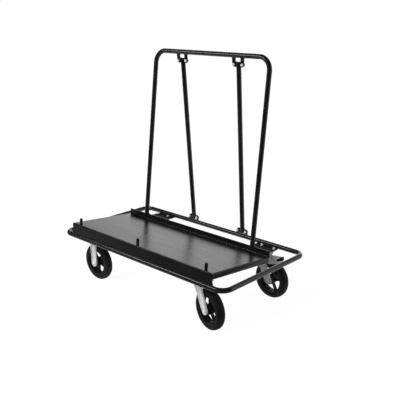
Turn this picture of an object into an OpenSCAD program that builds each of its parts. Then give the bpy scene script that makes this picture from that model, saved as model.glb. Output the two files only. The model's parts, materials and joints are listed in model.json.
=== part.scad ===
// Drywall cart: a tubular base loop on two fixed and two swivel casters, one braked, a sloping
// sheet-steel deck with edge pegs, and a leaning back frame held by two braces.
// Millimetres. X runs along the cart, Y from its front to its back, Z up from the floor.
// The origin lies on the floor under the middle of the base loop.

/* [Base loop] */
// Length of the base loop over its tubes
loop_length = 1180; // [1080:5:1400]
// Width of the base loop over its tubes
loop_width = 628; // [600:2:720]
// Outside diameter of every frame tube
tube_d = 25; // [22:0.5:28]
// Wall of every frame tube
tube_wall = 2; // [1.5:0.25:3]
// Centre-line bend radius of the loop's corners
loop_bend_r = 50; // [45:5:120]

/* [Under-frame] */
// Width of the bearers and the cross bearers
bearer_w = 50; // [45:1:60]
// Height of the bearers and the cross bearers
bearer_h = 30; // [28:1:40]
// Wall of the bearers and the cross bearers
bearer_wall = 2; // [1.5:0.25:3]
// Length of the two bearers
bearer_length = 860; // [850:5:1000]
// Distance from the middle of the cart to the front bearer's middle
front_bearer_y = 115; // [95:5:130]
// Distance from the middle of the cart to each cross bearer
cross_bearer_x = 240; // [120:5:255]
// Thickness of the plates that carry the casters
carrier_t = 4; // [3:0.5:6]
// Reach of each caster plate from its caster towards the middle of the cart
carrier_reach = 80; // [60:5:90]
// Height of the loop's tubes above the caster plates, at their axes
loop_rise = 7.55; // [6:0.05:9]

/* [Deck] */
// Length of the deck
deck_length = 1020; // [1005:5:1060]
// Depth of the deck along its slope, from the apron to the upstand
deck_depth = 405; // [390:1:420]
// Slope of the deck, falling towards the back
deck_tilt = 6; // [4:0.5:7]
// Thickness of the deck sheet
sheet_t = 2.5; // [1.5:0.25:3]
// Outside radius of the sheet's bends
sheet_bend_r = 5; // [4:0.5:8]
// Depth of the flanges at the deck's ends
side_flange = 28; // [20:1:36]
// Height of the upstand along the deck's rear edge
upstand = 28; // [22:1:40]
// Thickness of the tapered ribs under the deck
rib_t = 4; // [3:0.5:6]
// Distance from the middle rib to the outer ribs
rib_x = 340; // [280:5:400]

/* [Edge pegs] */
// Diameter of the pegs along the front edge
peg_d = 15; // [12:0.5:20]
// Height of the pegs above the deck
peg_h = 33; // [24:1:45]
// Distance from the middle peg to the outer pegs
peg_x = 457; // [380:1:470]
// Distance from the apron's face to the pegs' axes
peg_inset = 15; // [14:0.5:20]

/* [Back frame] */
// Height of the back frame above the floor
overall_h = 1220; // [1000:5:1400]
// Width of the back frame over its tubes
frame_w = 803; // [700:5:840]
// Lean of the back frame from upright
frame_lean = 7; // [4:0.5:9]
// Centre-line bend radius of the back frame's corners
frame_bend_r = 65; // [45:5:90]
// Gap between the deck's upstand and the back frame's legs
leg_gap = 2; // [1:0.5:4]

/* [Braces] */
// Distance from the middle of the cart to the top of each brace
brace_top_x = 192; // [150:1:220]
// Distance from the middle of the cart to the foot of each brace
brace_foot_x = 180; // [150:1:220]
// Distance from a brace to each of its bolts
lug_spread = 27; // [25:0.5:32]
// Radius of the round end of a lug
lug_r = 10.5; // [9.5:0.5:11]
// Thickness of the lugs and of the braces' end plates
lug_t = 4; // [3:0.5:6]
// Distance from the top bar's axis down to the bolts
top_lug_drop = 44; // [40:1:55]
// Distance from the rear tube's axis up to the bolts
foot_lug_rise = 30; // [28:1:40]
// Reach of a brace's end plate beyond and short of its bolts
tab_reach = 13; // [11:0.5:14]

/* [Casters] */
// Diameter of the wheels
wheel_d = 200; // [180:2:204]
// Width of the tyres
tyre_w = 42; // [36:1:46]
// Height from the floor to the top of the casters
caster_h = 245; // [244:1:260]
// Distance from the middle of the cart to the fixed casters
fixed_x = 414; // [380:2:424]
// Distance from the middle of the cart to the swivel axes
swivel_x = 372; // [350:2:380]
// Distance from the middle of the cart forward to the front casters
front_caster_y = 211; // [200:1:220]
// Distance from the middle of the cart back to the rear casters
rear_caster_y = 245; // [235:1:248]
// Distance from a swivel axis to its wheel's axle
trail = 56; // [50:1:62]
// Heading of the front swivel caster as it stands
front_heading = -12; // [-40:1:40]
// Heading of the rear swivel caster as it stands
rear_heading = -2; // [-40:1:40]
// Clear width between the fork's legs
fork_gap = 54; // [52:1:60]
// Thickness of the pressed fork and of the casters' top plates
fork_t = 3.5; // [3:0.5:5]
// Depth of the turned edges of the fork's legs
fork_edge = 8; // [6:0.5:10]
// Radius of the round end of the fork's legs
fork_end_r = 20; // [18:0.5:22]
// Length of the casters' top plates along the cart
pad_w = 105; // [100:1:115]
// Width of the casters' top plates across the cart
pad_d = 85; // [82:1:90]
// Spacing of the caster bolts along the cart
bolt_dx = 80; // [76:1:86]
// Spacing of the caster bolts across the cart
bolt_dy = 60; // [56:1:62]
// Number of spokes in a wheel
spoke_count = 5; // [4:1:6]
// Width of a spoke
spoke_w = 12; // [10:0.5:16]
// Angle that a pressed brake pedal turns through
pedal_travel = 9; // [6:0.5:9]

/* [Fits] */
// Clearance of pieces that are seated on one another
seat = 0.05; // [0.02:0.01:0.1]
// Radial clearance of turning fits
running = 0.06; // [0.04:0.01:0.1]
// Diameter of the frame bolts
bolt_d = 8; // [8:0.5:8.5]
// Radial clearance of the bolt holes
bolt_clear = 0.3; // [0.2:0.05:0.5]

/* [Hidden] */
$fn = 64;
tiny = 0.01;

// Base loop and under-frame
tube_r = tube_d / 2;
half_x = (loop_length - tube_d) / 2;
half_y = (loop_width - tube_d) / 2;
carrier_z = caster_h;
frame_z = carrier_z + carrier_t;
loop_z = frame_z + loop_rise;
bearer_top = frame_z + bearer_h;
carrier_edge = half_y - sqrt(tube_r * tube_r - loop_rise * loop_rise) - seat;

// Deck: the apron stands on the front tube, and the rear edge lies on the rear bearer
deck_sin = sin(deck_tilt);
deck_cos = cos(deck_tilt);
deck_z = bearer_top + seat + sheet_t * (deck_cos + deck_sin);
apron_h = (deck_z + (deck_depth - sheet_t) * deck_sin - loop_z - tube_r - seat) / deck_cos;
deck_y = -half_y - sheet_t / 2 + deck_depth * deck_cos + apron_h * deck_sin;
upstand_fillet_r = 3;
rear_bearer_lap = 12;
rear_bearer_y = deck_y - rear_bearer_lap + bearer_w / 2;
rib_front_gap = 42;
rib_lap = 9;

// Back frame and braces
leg_x = (frame_w - tube_d) / 2;
leg_y = deck_y + sheet_t + leg_gap + tube_r / cos(frame_lean);
bar_z = overall_h - tube_r;
bar_y = leg_y + (bar_z - bearer_top) * tan(frame_lean);
leg_length = (bar_z - bearer_top) / cos(frame_lean);
brace_lean = atan2(half_y - bar_y, bar_z - loop_z);
brace_span = norm([half_y - bar_y, bar_z - loop_z]);
brace_ends = [[brace_foot_x, foot_lug_rise], [brace_top_x, brace_span - top_lug_drop]];
tab_lip = 2;

// Bolts and nuts
bolt_r = bolt_d / 2;
hole_r = bolt_r + bolt_clear;
hex_r = 0.95 * bolt_d;
head_h = 0.66 * bolt_d;
nut_h = 0.8 * bolt_d;
bolt_tail = 3;
washer_r = 1.2 * bolt_d;
washer_t = 1.6;

// Foot bolts: where they cross the legs' axes, and where their nuts seat behind the legs
leg_bolt_rise = upstand / 2;
leg_skew = abs(frame_lean - deck_tilt);
leg_bolt_reach = (leg_y - deck_y - leg_bolt_rise * deck_sin
    + (deck_z + leg_bolt_rise * deck_cos - bearer_top) * tan(frame_lean))
    / (deck_cos + deck_sin * tan(frame_lean));
leg_grip = leg_bolt_reach + tube_r / cos(leg_skew) + hex_r * tan(leg_skew) + seat;

// Casters
wheel_r = wheel_d / 2;
axle_r = 6;
axle_hex_r = 11;
axle_head_h = 7;
axle_nut_h = 9;
spacer_r = 10;
hub_r = 24;
hub_side_gap = 1;
rim_r = 0.72 * wheel_r;
rim_t = 8;
rim_w = tyre_w - 4;
web_t = 11;
window_r = 6;
web_lip = 2;

// Angles that the wheels stand at, about their axles
front_left_phase = 55;
rear_left_phase = 40;
front_right_phase = 17;
rear_right_phase = 27;

// Forks and swivel heads
leg_out = fork_gap / 2 + fork_edge;
web_y = fork_gap / 2 + fork_t;
fixed_leg_half = 24;
swivel_trail_edge = 20;
crown_t = fork_t + 0.5;
kingpin_r = 7;
ball_r = 4;
ball_ring_r = 27;
ball_count = 16;
race_in_r = 20;
race_out_r = 35;
race_gap = 2;
race_clear = 0.3;
ball_z = caster_h - fork_t - 9;
crown_z = ball_z - race_gap / 2 - 2;
crown_end = 38;
crown_bend_r = 6;
pad_corner_r = 8;
kingpin_head_r = 12;
kingpin_head_h = 5;

// Brake
pedal_pin = [4, crown_z - crown_t - 17];
pedal_pin_r = 3;
pedal_boss_r = 7;
pedal_w = 51;
pedal_t = 3;
pedal_foot_w = 45;
pedal_foot = pedal_pin + [26, 4.9];
pedal_slope = 6.5;
pedal_length = 91;
pedal_neck = 14;
pedal_round = pedal_length - pedal_w / 2;
skirt_root = 32;
skirt_end = 17;
shoe_from = 34;
shoe_to = 58;
shoe_drop = 40;
shoe_w = 22;
shoe_gap = 0.8;
grip_l = 16;
grip_t = 2.5;
grip_drop = 5;

// Colours as the photograph shows them
black_paint = [0.09, 0.09, 0.10];
deck_paint = [0.16, 0.16, 0.17];
zinc = [0.78, 0.79, 0.80];
rubber = [0.05, 0.05, 0.05];
core_black = [0.08, 0.08, 0.08];

// Shared shapes

// Section of a frame tube
module tube_section() {
    difference() {
        circle(tube_r);
        circle(tube_r - tube_wall);
    }
}

// Straight tube from the origin along Z
module straight_tube(length) {
    linear_extrude(length) tube_section();
}

// Quarter bend about Z, from +X round to +Y
module quarter_bend(bend_r) {
    rotate_extrude(angle = 90) translate([bend_r, 0]) tube_section();
}

// Rectangular tube along X, centred on X and Y, standing on Z = 0
module box_tube(length, width, height) {
    difference() {
        translate([-length / 2, -width / 2, 0]) cube([length, width, height]);
        translate([-length / 2 - 1, -width / 2 + bearer_wall, bearer_wall])
            cube([length + 2, width - 2 * bearer_wall, height - 2 * bearer_wall]);
    }
}

// Hexagon bolt along Z: its head's seat is at Z = 0 and its shank points up
module hex_bolt(radius, hexagon_r, head, length) {
    translate([0, 0, -head]) cylinder(r = hexagon_r, h = head, $fn = 6);
    translate([0, 0, -tiny]) cylinder(r = radius, h = length + tiny);
}

// Hexagon nut standing on Z = 0
module hex_nut(radius, hexagon_r, height) {
    difference() {
        cylinder(r = hexagon_r, h = height, $fn = 6);
        translate([0, 0, -1]) cylinder(r = radius + seat, h = height + 2);
    }
}

// Strip with straight edges that end just inside a round of radius end_r at end_at
module round_ended_strip(lead, trail_corner, end_at, end_r) {
    inside = 0.97;
    across = [lead[1] - end_at[1], end_at[0] - lead[0]];
    side = across / norm(across) * end_r * inside;
    polygon([lead, end_at - side, end_at + side, trail_corner]);
    translate(end_at) circle(end_r);
}

// The deck's own frame: X along the cart, Y up the deck from its rear edge, Z off the deck
module on_deck() {
    translate([0, deck_y, deck_z]) rotate([-deck_tilt, 0, 0]) children();
}

// The plane of the braces: Z runs from the rear tube's axis to the top bar's axis
module on_braces() {
    translate([0, half_y, loop_z]) rotate([brace_lean, 0, 0]) children();
}

// Each of the braces' eight bolts, with Y along the bolt
module at_brace_bolts() {
    on_braces() for (side = [-1, 1], spread = [-1, 1], end = brace_ends)
        translate([side * end[0] + spread * lug_spread, 0, end[1]]) children();
}

// Each of the back frame's two foot bolts, with Z along the bolt towards the back
module at_leg_bolts() {
    for (side = [-1, 1])
        on_deck() translate([side * leg_x, 0, leg_bolt_rise]) rotate([-90, 0, 0]) children();
}

// The four casters' places on the floor
module at_fixed(y) {
    translate([-fixed_x, y, 0]) children();
}
module at_swivel(y) {
    translate([swivel_x, y, 0]) children();
}
module at_heading(y, heading) {
    at_swivel(y) rotate([0, 0, heading]) children();
}
module at_wheel(y, heading, phase) {
    at_heading(y, heading) translate([trail, 0, wheel_r]) rotate([0, phase, 0]) children();
}
module at_fixed_wheel(y, phase) {
    at_fixed(y) translate([0, 0, wheel_r]) rotate([0, phase, 0]) children();
}

// The sixteen caster bolts
module at_caster_bolts() {
    for (x = [-fixed_x, swivel_x], y = [-front_caster_y, rear_caster_y], i = [-1, 1], j = [-1, 1])
        translate([x + i * bolt_dx / 2, y + j * bolt_dy / 2, 0]) children();
}

// Base loop: two bent halves, welded where they meet at the middle of the front and rear tubes
module loop_half() {
    color(black_paint) {
        for (side = [-1, 1]) {
            translate([0, side * half_y, loop_z]) rotate([0, 90, 0]) straight_tube(half_x - loop_bend_r);
            translate([half_x - loop_bend_r, side * (half_y - loop_bend_r), loop_z])
                rotate([0, 0, side < 0 ? -90 : 0]) quarter_bend(loop_bend_r);
        }
        translate([half_x, loop_bend_r - half_y, loop_z]) rotate([-90, 0, 0])
            straight_tube(2 * (half_y - loop_bend_r));
    }
}
module base_loop_left() {
    mirror([1, 0, 0]) loop_half();
}
module base_loop_right() {
    loop_half();
}

// Bearers: rectangular tubes that tie the caster plates together under the deck
module front_bearer() {
    color(black_paint) translate([0, -front_bearer_y, frame_z]) box_tube(bearer_length, bearer_w, bearer_h);
}
module rear_bearer() {
    color(black_paint) translate([0, rear_bearer_y, frame_z]) box_tube(bearer_length, bearer_w, bearer_h);
}
module cross_bearer(side) {
    from = -front_bearer_y + bearer_w / 2;
    to = rear_bearer_y - bearer_w / 2;
    color(black_paint) translate([side * cross_bearer_x, (from + to) / 2, frame_z])
        rotate([0, 0, 90]) box_tube(to - from, bearer_w, bearer_h);
}
module cross_bearer_left() {
    cross_bearer(-1);
}
module cross_bearer_right() {
    cross_bearer(1);
}

// Caster plates: each is welded to the inside of a loop tube and reaches in under a bearer
module caster_plate(x, inner_y, caster_y) {
    outer_y = sign(inner_y) * carrier_edge;
    inner_x = x - sign(x) * carrier_reach;
    outer_x = x + sign(x) * pad_w / 2;
    difference() {
        translate([min(inner_x, outer_x), min(inner_y, outer_y), carrier_z])
            cube([abs(outer_x - inner_x), abs(outer_y - inner_y), carrier_t]);
        for (i = [-1, 1], j = [-1, 1])
            translate([x + i * bolt_dx / 2, caster_y + j * bolt_dy / 2, carrier_z - 1])
                cylinder(r = hole_r, h = carrier_t + 2);
    }
}
module caster_plate_pair(x) {
    color(black_paint) {
        caster_plate(x, -front_bearer_y + bearer_w / 2, -front_caster_y);
        caster_plate(x, rear_bearer_y - bearer_w / 2, rear_caster_y);
    }
}
module left_caster_plates() {
    caster_plate_pair(-fixed_x);
}
module right_caster_plates() {
    caster_plate_pair(swivel_x);
}

// Deck: one bent sheet with a deep apron in front, flanges at its ends and an upstand behind

// Outline of a block under the deck's top, rounded at its top corners on the named sides
module rounded_top(from, to, bottom, radius, round_from, round_to) {
    difference() {
        translate([from, bottom]) square([to - from, -bottom]);
        if (round_from) corner_cut(from, radius, 1);
        if (round_to) corner_cut(to, radius, -1);
    }
}
module corner_cut(at, radius, inward) {
    difference() {
        translate([inward > 0 ? at - 1 : at - radius, -radius]) square([radius + 1, radius + 1]);
        translate([at + inward * radius, -radius]) circle(radius);
    }
}
// Solid block below the deck's top, inset from its outer faces
module deck_block(inset, bottom, back) {
    radius = sheet_bend_r - inset;
    end = deck_length / 2 - inset;
    translate([0, 0, -inset]) intersection() {
        translate([-deck_length, 0, 0]) rotate([90, 0, 90]) linear_extrude(2 * deck_length)
            rounded_top(-deck_depth + inset, back, bottom, radius, true, false);
        translate([0, deck_depth, 0]) rotate([90, 0, 0]) linear_extrude(3 * deck_depth)
            rounded_top(-end, end, bottom, radius, true, true);
    }
}
module deck_panel() {
    color(deck_paint) on_deck() difference() {
        union() {
            difference() {
                deck_block(0, -apron_h, 0);
                deck_block(sheet_t, -apron_h - 1, 1);
                translate([-deck_length, -deck_depth + sheet_t, -apron_h - 1])
                    cube([2 * deck_length, deck_depth, apron_h + 1 - side_flange]);
            }
            translate([-deck_length / 2, 0, -sheet_t]) cube([deck_length, sheet_t, sheet_t + upstand]);
            translate([-deck_length / 2 + sheet_bend_r, 0, 0]) rotate([90, 0, 90])
                linear_extrude(deck_length - 2 * sheet_bend_r) difference() {
                    translate([-upstand_fillet_r, -tiny]) square([upstand_fillet_r + tiny, upstand_fillet_r]);
                    translate([-upstand_fillet_r, upstand_fillet_r]) circle(upstand_fillet_r);
                }
        }
        for (x = [-peg_x, 0, peg_x])
            translate([x, peg_inset - deck_depth, -sheet_t - 1]) cylinder(r = peg_d / 2 + seat, h = sheet_t + 2);
        for (side = [-1, 1])
            translate([side * leg_x, -1 - upstand_fillet_r, leg_bolt_rise]) rotate([-90, 0, 0])
                cylinder(r = hole_r, h = sheet_t + upstand_fillet_r + 2);
    }
}

// Tapered ribs: they stand on the bearers and carry the sloping sheet
function deck_underside(y) = deck_z - sheet_t * deck_cos - (y - deck_y + sheet_t * deck_sin) * tan(deck_tilt);
module deck_ribs() {
    front = -half_y + rib_front_gap;
    back = rear_bearer_y - bearer_w / 2 + rib_lap;
    color(black_paint) for (x = [-rib_x, 0, rib_x])
        translate([x - rib_t / 2, 0, 0]) rotate([90, 0, 90]) linear_extrude(rib_t)
            polygon([[front, bearer_top], [back, bearer_top],
                     [back, deck_underside(back) - seat], [front, deck_underside(front) - seat]]);
}

// Edge pegs: round posts set in the sheet, each held by a washer and a nut on the stud below it
module at_pegs() {
    for (x = [-peg_x, 0, peg_x]) on_deck() translate([x, peg_inset - deck_depth, 0]) children();
}
module edge_pegs() {
    crown_r = peg_d / 3;
    color(rubber) at_pegs() {
        rotate_extrude() {
            translate([0, -sheet_t]) square([peg_d / 2, sheet_t + peg_h - crown_r]);
            translate([0, peg_h - crown_r - tiny]) square([peg_d / 2 - crown_r, crown_r + tiny]);
            intersection() {
                translate([peg_d / 2 - crown_r, peg_h - crown_r]) circle(crown_r);
                translate([0, peg_h - crown_r - tiny]) square([peg_d, crown_r + tiny]);
            }
        }
        translate([0, 0, -sheet_t - washer_t - nut_h - bolt_tail])
            cylinder(r = bolt_r, h = washer_t + nut_h + bolt_tail + tiny);
    }
}
module peg_washers() {
    color(zinc) at_pegs() translate([0, 0, -sheet_t - washer_t]) difference() {
        cylinder(r = washer_r, h = washer_t);
        translate([0, 0, -1]) cylinder(r = bolt_r + seat, h = washer_t + 2);
    }
}
module peg_nuts() {
    color(zinc) at_pegs() translate([0, 0, -sheet_t - washer_t - nut_h]) hex_nut(bolt_r, hex_r, nut_h);
}

// Back frame: one tube bent to an upturned U, bolted through the upstand at its feet
module back_frame() {
    color(black_paint) difference() {
        translate([0, leg_y, bearer_top]) rotate([-frame_lean, 0, 0]) {
            for (side = [-1, 1]) {
                translate([side * leg_x, 0, -tube_d]) straight_tube(leg_length - frame_bend_r + tube_d);
                translate([side * (leg_x - frame_bend_r), 0, leg_length - frame_bend_r])
                    rotate([90, 0, side < 0 ? 180 : 0]) quarter_bend(frame_bend_r);
            }
            translate([frame_bend_r - leg_x, 0, leg_length]) rotate([0, 90, 0])
                straight_tube(2 * (leg_x - frame_bend_r));
        }
        translate([-frame_w, leg_y - frame_w / 2, bearer_top - frame_w])
            cube([2 * frame_w, frame_w, frame_w]);
        at_leg_bolts() cylinder(r = hole_r, h = 2 * tube_d);
    }
}

// Foot bolts: round heads on the upstand, nuts behind the legs
module leg_bolts() {
    dome_r = 1.1 * bolt_d;
    dome_h = 0.45 * bolt_d;
    dome_ball_r = (dome_r * dome_r + dome_h * dome_h) / (2 * dome_h);
    color(black_paint) at_leg_bolts() {
        cylinder(r = bolt_r, h = leg_grip + nut_h + bolt_tail);
        intersection() {
            translate([0, 0, dome_ball_r - dome_h]) sphere(dome_ball_r);
            translate([0, 0, -dome_h]) cylinder(r = dome_r, h = dome_h);
        }
    }
}
module leg_nuts() {
    color(zinc) at_leg_bolts() translate([0, 0, leg_grip]) hex_nut(bolt_r, hex_r, nut_h);
}

// Braces: a tube with a flat plate welded across each end
module brace_tab() {
    difference() {
        union() {
            square([2 * lug_spread, 2 * tab_reach], center = true);
            for (spread = [-1, 1]) translate([spread * lug_spread, 0]) circle(lug_r);
        }
        for (spread = [-1, 1]) translate([spread * lug_spread, 0]) circle(hole_r);
    }
}
module brace(side) {
    run = brace_ends[1] - brace_ends[0];
    past_bolts = tab_reach - tab_lip;
    color(black_paint) on_braces() {
        translate([side * brace_ends[0][0], 0, brace_ends[0][1]])
            rotate([0, side * atan2(run[0], run[1]), 0]) translate([0, 0, -past_bolts])
                straight_tube(norm(run) + 2 * past_bolts);
        for (end = brace_ends)
            translate([side * end[0], lug_t / 2, end[1]]) rotate([90, 0, 0])
                linear_extrude(lug_t) brace_tab();
    }
}
module brace_left() {
    brace(-1);
}
module brace_right() {
    brace(1);
}

// Lugs: flat ears welded under the top bar and on the rear tube, in front of the braces' plates
module lug(height) {
    difference() {
        translate([0, -lug_t / 2, 0]) rotate([90, 0, 0]) linear_extrude(lug_t) difference() {
            union() {
                translate([-lug_r, 0]) square([2 * lug_r, height]);
                translate([0, height]) circle(lug_r);
            }
            translate([0, height]) circle(hole_r);
        }
        translate([-lug_spread, 0, 0]) rotate([0, 90, 0]) cylinder(r = tube_r + seat, h = 2 * lug_spread);
    }
}
module tube_lugs() {
    color(black_paint) on_braces() for (side = [-1, 1], spread = [-1, 1])
        translate([side * brace_foot_x + spread * lug_spread, 0, 0]) lug(foot_lug_rise);
}
module bar_lugs() {
    color(black_paint) on_braces() for (side = [-1, 1], spread = [-1, 1])
        translate([side * brace_top_x + spread * lug_spread, 0, brace_span])
            rotate([0, 180, 0]) lug(top_lug_drop);
}
module brace_bolts() {
    color(zinc) at_brace_bolts() translate([0, lug_t / 2, 0]) rotate([90, 0, 0])
        hex_bolt(bolt_r, hex_r, head_h, 2 * lug_t + nut_h + bolt_tail);
}
module brace_nuts() {
    color(zinc) at_brace_bolts() translate([0, -1.5 * lug_t, 0]) rotate([90, 0, 0])
        hex_nut(bolt_r, hex_r, nut_h);
}

// Caster fasteners: heads under the casters' top plates, nuts on the caster plates
module caster_bolts() {
    color(zinc) at_caster_bolts() translate([0, 0, caster_h - fork_t])
        hex_bolt(bolt_r, hex_r, head_h, fork_t + carrier_t + nut_h + bolt_tail);
}
module caster_nuts() {
    color(zinc) at_caster_bolts() translate([0, 0, frame_z]) hex_nut(bolt_r, hex_r, nut_h);
}

// Top plate that every caster is bolted by
module caster_pad() {
    translate([0, 0, caster_h - fork_t]) linear_extrude(fork_t) difference() {
        union() {
            square([pad_w - 2 * pad_corner_r, pad_d], center = true);
            square([pad_w, pad_d - 2 * pad_corner_r], center = true);
            for (i = [-1, 1], j = [-1, 1])
                translate([i * (pad_w / 2 - pad_corner_r), j * (pad_d / 2 - pad_corner_r)])
                    circle(pad_corner_r);
        }
        for (i = [-1, 1], j = [-1, 1])
            translate([i * bolt_dx / 2, j * bolt_dy / 2]) circle(hole_r);
    }
}

// One pressed leg with turned edges, between a straight top edge and the axle
module fork_leg(lead_x, trail_x, top_z, axle_x) {
    end_at = [axle_x, wheel_r];
    translate([0, leg_out, 0]) rotate([90, 0, 0]) difference() {
        linear_extrude(fork_edge)
            round_ended_strip([lead_x, top_z], [trail_x, top_z], end_at, fork_end_r);
        translate([0, 0, -1]) linear_extrude(fork_edge - fork_t + 1)
            round_ended_strip([lead_x + fork_t, top_z - fork_t], [trail_x - fork_t, top_z - fork_t],
                              end_at, fork_end_r - fork_t);
    }
}
module fork_legs(lead_x, trail_x, top_z, axle_x) {
    fork_leg(lead_x, trail_x, top_z, axle_x);
    mirror([0, 1, 0]) fork_leg(lead_x, trail_x, top_z, axle_x);
}
module axle_hole(axle_x) {
    translate([axle_x, leg_out + 1, wheel_r]) rotate([90, 0, 0])
        cylinder(r = axle_r + seat, h = 2 * leg_out + 2);
}

// Fixed fork: its upright legs hang straight from the top plate
module fixed_fork(y) {
    color(zinc) at_fixed(y) difference() {
        union() {
            caster_pad();
            fork_legs(-fixed_leg_half, fixed_leg_half, caster_h - fork_t + tiny, 0);
        }
        axle_hole(0);
    }
}
module front_left_fork() {
    fixed_fork(-front_caster_y);
}
module rear_left_fork() {
    fixed_fork(rear_caster_y);
}

// Swivel head: the top plate's race, the balls, and the fork's crown that turns on the kingpin
module race_ring(bottom, height) {
    difference() {
        translate([0, 0, bottom]) cylinder(r = race_out_r, h = height);
        translate([0, 0, bottom - 1]) cylinder(r = race_in_r, h = height + 2);
    }
}
module ball_groove() {
    translate([0, 0, ball_z]) rotate_extrude() translate([ball_ring_r, 0]) circle(ball_r + race_clear);
}
module top_plate(y) {
    top_race_z = ball_z + race_gap / 2;
    color(zinc) at_swivel(y) difference() {
        union() {
            caster_pad();
            race_ring(top_race_z, caster_h - fork_t - top_race_z + tiny);
        }
        translate([0, 0, caster_h - fork_t - 1]) cylinder(r = kingpin_r + seat, h = fork_t + 2);
        ball_groove();
    }
}
module front_right_top_plate() {
    top_plate(-front_caster_y);
}
module rear_right_top_plate() {
    top_plate(rear_caster_y);
}

// Kingpin: riveted flush in the top plate, with a flange that holds the crown from below
module kingpin(y) {
    crown_under = crown_z - crown_t;
    color(zinc) at_swivel(y) {
        translate([0, 0, crown_under - race_clear - kingpin_head_h])
            cylinder(r = kingpin_r, h = caster_h - crown_under + race_clear + kingpin_head_h);
        translate([0, 0, crown_under - race_clear - kingpin_head_h])
            cylinder(r = kingpin_head_r, h = kingpin_head_h);
    }
}
module front_right_kingpin() {
    kingpin(-front_caster_y);
}
module rear_right_kingpin() {
    kingpin(rear_caster_y);
}
module ball_set(y) {
    color(zinc) at_swivel(y) for (i = [0 : ball_count - 1])
        rotate([0, 0, i * 360 / ball_count]) translate([ball_ring_r, 0, ball_z]) sphere(ball_r);
}
module front_right_balls() {
    ball_set(-front_caster_y);
}
module rear_right_balls() {
    ball_set(rear_caster_y);
}

// Swivel fork: its legs rake back from the crown to the trailing axle

// Outline across the fork, with rounded shoulders where the crown turns down into the legs
module crown_envelope() {
    translate([-leg_out, 0]) square([2 * leg_out, crown_z - crown_bend_r]);
    translate([crown_bend_r - leg_out, 0]) square([2 * (leg_out - crown_bend_r), crown_z]);
    for (side = [-1, 1])
        translate([side * (leg_out - crown_bend_r), crown_z - crown_bend_r]) circle(crown_bend_r);
}
module swivel_fork(y, heading, braked) {
    color(zinc) at_heading(y, heading) difference() {
        union() {
            intersection() {
                union() {
                    translate([-crown_end, -leg_out, crown_z - crown_t])
                        cube([2 * crown_end, 2 * leg_out, crown_t]);
                    fork_legs(-crown_end, swivel_trail_edge, crown_z, trail);
                }
                translate([-2 * crown_end, 0, 0]) rotate([90, 0, 90]) linear_extrude(2 * wheel_d)
                    crown_envelope();
            }
            race_ring(crown_z - tiny, ball_z - race_gap / 2 - crown_z + tiny);
        }
        translate([0, 0, crown_z - crown_t - 1]) cylinder(r = kingpin_r + running, h = crown_t + 2);
        ball_groove();
        axle_hole(trail);
        if (braked) translate([pedal_pin[0], leg_out + 1, pedal_pin[1]]) rotate([90, 0, 0])
            cylinder(r = pedal_pin_r + seat, h = 2 * leg_out + 2);
    }
}
module front_right_fork() {
    swivel_fork(-front_caster_y, front_heading, false);
}
module rear_right_fork() {
    swivel_fork(rear_caster_y, rear_heading, true);
}

// Axles: a bolt through both legs, clamping a spacer tube that the wheel turns on
module axle_bolt() {
    rotate([-90, 0, 0]) translate([0, 0, -web_y])
        hex_bolt(axle_r, axle_hex_r, axle_head_h, 2 * web_y + axle_nut_h + bolt_tail);
}
module axle_end_nut() {
    rotate([-90, 0, 0]) translate([0, 0, web_y]) hex_nut(axle_r, axle_hex_r, axle_nut_h);
}
module axle_spacer() {
    rotate([90, 0, 0]) translate([0, 0, -fork_gap / 2]) difference() {
        cylinder(r = spacer_r, h = fork_gap);
        translate([0, 0, -1]) cylinder(r = axle_r + seat, h = fork_gap + 2);
    }
}
module fixed_axles() {
    color(zinc) for (y = [-front_caster_y, rear_caster_y]) at_fixed_wheel(y, 0) axle_bolt();
}
module fixed_axle_nuts() {
    color(zinc) for (y = [-front_caster_y, rear_caster_y]) at_fixed_wheel(y, 0) axle_end_nut();
}
module front_left_spacer() {
    color(zinc) at_fixed_wheel(-front_caster_y, 0) axle_spacer();
}
module rear_left_spacer() {
    color(zinc) at_fixed_wheel(rear_caster_y, 0) axle_spacer();
}
module front_right_axle() {
    color(zinc) at_wheel(-front_caster_y, front_heading, 0) axle_bolt();
}
module rear_right_axle() {
    color(zinc) at_wheel(rear_caster_y, rear_heading, 0) axle_bolt();
}
module front_right_axle_nut() {
    color(zinc) at_wheel(-front_caster_y, front_heading, 0) axle_end_nut();
}
module rear_right_axle_nut() {
    color(zinc) at_wheel(rear_caster_y, rear_heading, 0) axle_end_nut();
}
module front_right_spacer() {
    color(zinc) at_wheel(-front_caster_y, front_heading, 0) axle_spacer();
}
module rear_right_spacer() {
    color(zinc) at_wheel(rear_caster_y, rear_heading, 0) axle_spacer();
}

// Wheels: a moulded core with open windows between its spokes, and a solid rubber tyre

// Centre of a window's round corner, at a radius and beside the spoke on one side
function window_corner(radius, side) =
    let (angle = 180 / spoke_count - asin((spoke_w / 2 + window_r) / radius))
    radius * [cos(angle), side * sin(angle)];
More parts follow.
